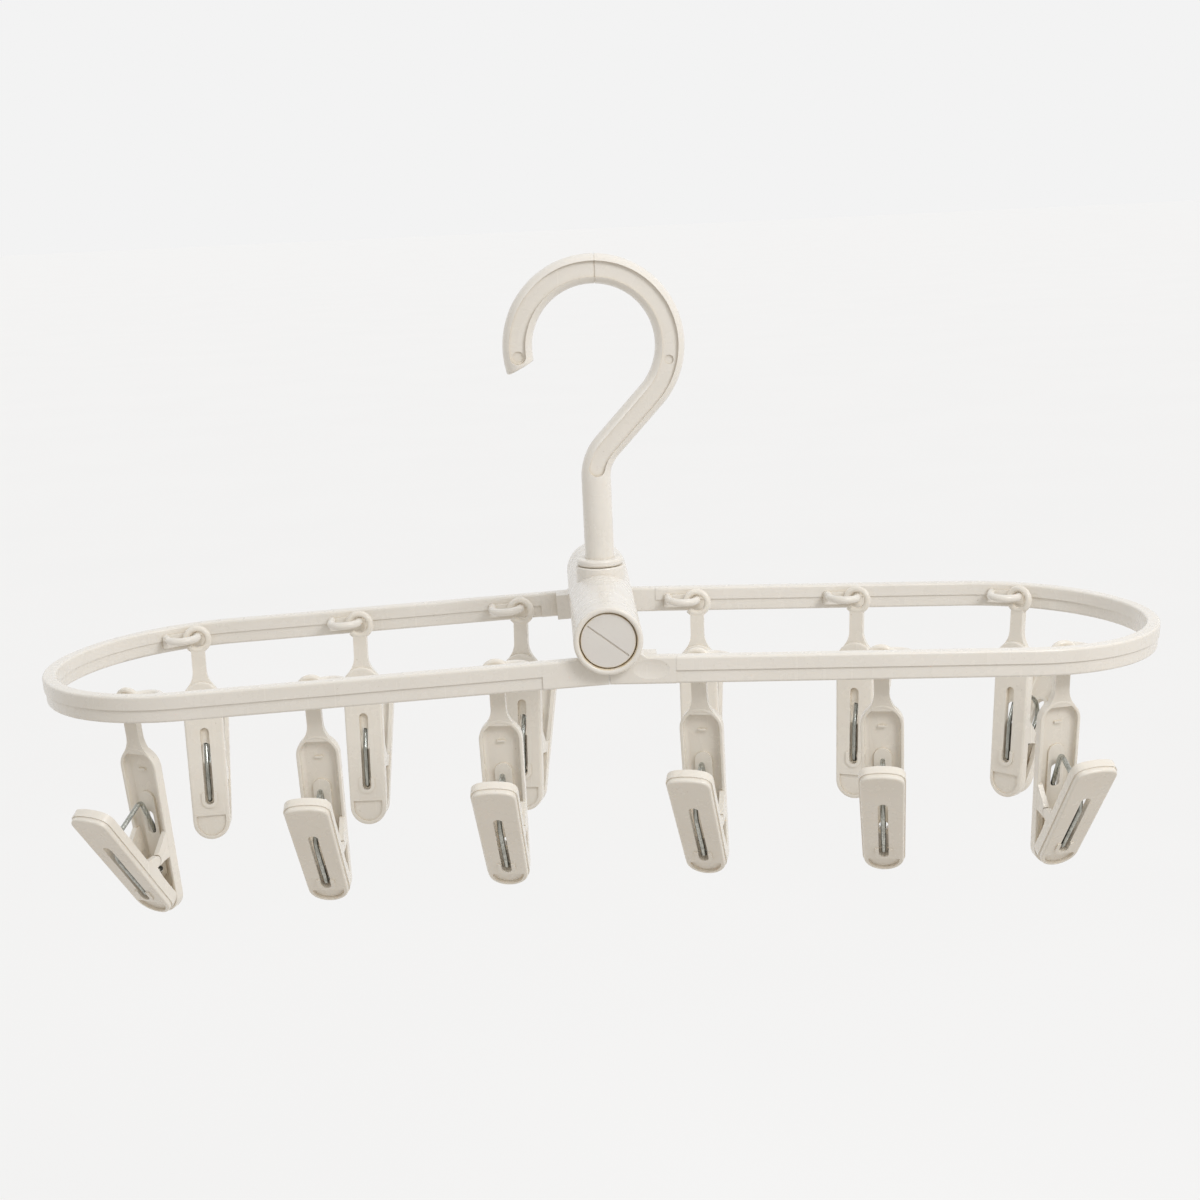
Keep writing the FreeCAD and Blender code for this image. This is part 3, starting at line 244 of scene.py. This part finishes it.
def clip_axes(name):
    """A clip's own frame at rest, from its two joints: ring centre, and X, Y, Z directions."""
    swing = joints[f"{name}_swing"]
    press = joints[f"{name}_press"]
    fulcrum = Vector(press["pos_m"])
    centre = Vector(swing["pos_m"]) - Vector((0, 0, RING_DROP))
    across = -Vector(press["axis"]).normalized()
    reach = fulcrum - centre
    reach -= across * reach.dot(across)
    turned = across.cross(reach)
    out, down = FULCRUM
    size = out * out + down * down
    up = (reach * down + turned * out) / size
    back = (reach * out - turned * down) / size
    return fulcrum - back * out - up * down, across, back.normalized(), up.normalized()


def on_lever(depth, height):
    """A point of the lever's side view, as (Y, Z) in the clip's frame."""
    c, s = math.cos(LEVER_LEAN), math.sin(LEVER_LEAN)
    return (LEVER_FOOT[0] + depth * c - height * s, LEVER_FOOT[1] + depth * s + height * c)


WIRE_ROUTE = [
    (-0.00035, -0.0623), (0.00155, -0.0623), (0.00155, -0.0480), (-0.0033, -0.0350),
    on_lever(0.00085, 0.0388), on_lever(0.00085, 0.0111), on_lever(0.00275, 0.0111),
]
WIRE_BENDS = [0.001, 0.005, 0.0018, 0.007, 0.001]


def rounded(points, radii, step=0.0004):
    """Points along straight runs joined by tangent arcs."""
    line = [Vector(points[0])]
    for before, corner, after, radius in zip(points, points[1:], points[2:], radii):
        before, corner, after = Vector(before), Vector(corner), Vector(after)
        into = (corner - before).normalized()
        away = (after - corner).normalized()
        turn = into.angle(away)
        trim = radius * math.tan(turn / 2)
        side = 1 if into.x * away.y - into.y * away.x > 0 else -1
        start = corner - into * trim
        centre = start + Vector((-into.y, into.x)) * side * radius
        line += straight(line[-1], start)
        count = max(6, int(radius * turn / step))
        spoke = start - centre
        for index in range(1, count + 1):
            angle = side * turn * index / count
            c, s = math.cos(angle), math.sin(angle)
            line.append(centre + Vector((spoke.x * c - spoke.y * s, spoke.x * s + spoke.y * c)))
    return line + straight(line[-1], Vector(points[-1]))


def straight(start, finish, step=0.0012):
    """Evenly spaced points after start, up to and including finish."""
    pieces = max(1, int((finish - start).length / step))
    return [start.lerp(finish, index / pieces) for index in range(1, pieces + 1)]


def tube(name, path, side_axis, radius, sides=14):
    """Round wire along a flat path, with domed ends."""
    mesh = bmesh.new()
    rings = []
    last = len(path) - 1
    spots = [(0, -0.9, 0.45), (0, -0.6, 0.8)] + [(i, 0.0, 1.0) for i in range(last + 1)]
    spots += [(last, 0.6, 0.8), (last, 0.9, 0.45)]
    for index, push, grow in spots:
        here = path[index]
        ahead = path[min(index + 1, last)] - path[max(index - 1, 0)]
        ahead.normalize()
        normal = side_axis.cross(ahead).normalized()
        ring = []
        for turn in range(sides):
            angle = 2 * math.pi * turn / sides
            arm = side_axis * math.cos(angle) + normal * math.sin(angle)
            ring.append(mesh.verts.new(here + ahead * push * radius + arm * radius * grow))
        rings.append(ring)
    for low, high in zip(rings, rings[1:]):
        for turn in range(sides):
            after = (turn + 1) % sides
            mesh.faces.new((low[turn], low[after], high[after], high[turn]))
    mesh.faces.new(list(reversed(rings[0])))
    mesh.faces.new(rings[-1])
    bmesh.ops.recalc_face_normals(mesh, faces=mesh.faces)
    return finish_mesh(name, mesh)


def finish_mesh(name, mesh, smooth=True):
    data = bpy.data.meshes.new(name)
    mesh.to_mesh(data)
    mesh.free()
    for face in data.polygons:
        face.use_smooth = smooth
    piece = bpy.data.objects.new(name, data)
    scene.collection.objects.link(piece)
    return piece


for name in CLIPS:
    origin, across, back, up = clip_axes(name)
    path = [origin + back * y + up * z for y, z in rounded(WIRE_ROUTE, WIRE_BENDS)]
    spring = tube(f"{name}_wire", path, across, WIRE_RADIUS)
    spring.data.materials.append(wire)
    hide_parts(f"{name}_spring")
    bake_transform(spring)


# ---------------------------------------------------------------- stage, light and camera

def pale_floor():
    """A wide pale table with a faint glow, brighter behind the hanger and warmer in front."""
    g = Graph("pale_floor")
    g.join(g.mix(g.span(g.noise(3.0, 2.0), 0.3, 0.7, 0.0, 1.0), (0.20, 0.20, 0.20),
                 (0.21, 0.21, 0.21)), g.shader.inputs["Base Color"])
    g.shader.inputs["Roughness"].default_value = 0.95
    g.shader.inputs["Specular IOR Level"].default_value = 0.1
    parts = g.add("ShaderNodeSeparateXYZ")
    g.join(g.place, parts.inputs["Vector"])
    warmth = g.span(parts.outputs["Y"], 0.0, 0.40, 1.0, 0.0)
    g.join(g.mix(warmth, (1.0, 1.0, 1.0), (1.0, 0.92, 0.82)), g.shader.inputs["Emission Color"])
    glow = g.span(parts.outputs["Y"], -0.25, 0.40, *FLOOR_GLOW)
    g.join(glow, g.shader.inputs["Emission Strength"])
    mesh = bmesh.new()
    bmesh.ops.create_grid(mesh, x_segments=8, y_segments=8, size=30.0)
    floor = finish_mesh("floor", mesh, smooth=False)
    floor.location = (0, 0, FLOOR_HEIGHT)
    floor.data.materials.append(g.material)


def studio_world():
    """An even white backdrop behind, and a warmer, dimmer room in front, dimmest at the left."""
    world = bpy.data.worlds.new("studio")
    world.use_nodes = True
    tree = world.node_tree

    def add(kind, **inputs):
        node = tree.nodes.new(kind)
        for name, value in inputs.items():
            socket = node.inputs[name.replace("_", " ")]
            if isinstance(value, bpy.types.NodeSocket):
                tree.links.new(value, socket)
            else:
                socket.default_value = value
        return node

    place = add("ShaderNodeTexCoord").outputs["Generated"]
    parts = add("ShaderNodeSeparateXYZ", Vector=place).outputs

    def ramp(source, low, high, first, last):
        node = add("ShaderNodeMapRange", Value=source, From_Min=low, From_Max=high,
                   To_Min=first, To_Max=last)
        node.interpolation_type = "SMOOTHSTEP"
        return node.outputs["Result"]

    front = ramp(parts["X"], -0.8, 0.8, *FRONT_GLOW)
    rear = ramp(parts["Y"], 0.0, 0.7, 0.0, 1.0)
    above = ramp(parts["Z"], 0.25, 0.9, 0.0, TOP_GLOW)
    even = add("ShaderNodeMix", Factor=rear, A=front)
    even.inputs["B"].default_value = BACKDROP
    total = add("ShaderNodeMath")
    tree.links.new(even.outputs["Result"], total.inputs[0])
    tree.links.new(above, total.inputs[1])
    tree.links.new(total.outputs["Value"], tree.nodes["Background"].inputs["Strength"])
    tint = tree.nodes.new("ShaderNodeMix")
    tint.data_type = "RGBA"
    tree.links.new(rear, tint.inputs["Factor"])
    tint.inputs["A"].default_value = (1.0, 0.955, 0.89, 1.0)
    tint.inputs["B"].default_value = (1.0, 1.0, 1.0, 1.0)
    tree.links.new(tint.outputs["Result"], tree.nodes["Background"].inputs["Color"])
    scene.world = world


def area_light(name, place, power, width, height, colour):
    """A rectangular light that faces the middle of the hanger."""
    light = bpy.data.lights.new(name, "AREA")
    light.shape = "RECTANGLE"
    light.size = width
    light.size_y = height
    light.energy = power
    light.color = colour
    lamp = bpy.data.objects.new(name, light)
    lamp.location = place
    lamp.rotation_euler = (MIDDLE - Vector(place)).to_track_quat("-Z", "Y").to_euler()
    scene.collection.objects.link(lamp)


FLOOR_HEIGHT = -0.60
FLOOR_GLOW = (0.42, 0.728)
FRONT_GLOW = (0.46, 0.80)
TOP_GLOW = 0.05
BACKDROP = 0.896
MIDDLE = Vector((0.0, 0.0, -0.11))
LIGHTS = {
    "key_softbox": ((0.50, -0.65, 0.50), 4.0, 0.35, 0.35, (1.0, 1.0, 1.0)),
    "overhead_softbox": ((-0.1, 0.1, 0.75), 0.3, 0.8, 0.5, (0.97, 0.98, 1.0)),
    "left_strip": ((-0.75, -0.35, 0.55), 0.9, 0.08, 0.4, (0.94, 0.97, 1.0)),
}
pale_floor()
studio_world()
for name, settings in LIGHTS.items():
    area_light(name, *settings)
scene.view_settings.view_transform = "Standard"

YAW, RISE, ROLL = (math.radians(angle) for angle in (-1.39, 12.30, -2.63))
DISTANCE = 0.679
TARGET = Vector((-0.00182, 0.0, -0.11222))
backward = Vector((math.sin(YAW) * math.cos(RISE), -math.cos(YAW) * math.cos(RISE),
                   math.sin(RISE)))
level_right = Vector((math.cos(YAW), math.sin(YAW), 0.0))
level_up = backward.cross(level_right)
right = level_right * math.cos(ROLL) + level_up * math.sin(ROLL)
upward = level_up * math.cos(ROLL) - level_right * math.sin(ROLL)
lens = bpy.data.cameras.new("camera")
lens.lens = 56.74
lens.sensor_width = 36.0
lens.clip_start = 0.02
lens.clip_end = 100.0
camera = bpy.data.objects.new("camera", lens)
turn = Matrix((right, upward, backward)).transposed()
camera.matrix_world = Matrix.Translation(TARGET + backward * DISTANCE) @ turn.to_4x4()
scene.collection.objects.link(camera)
scene.camera = camera
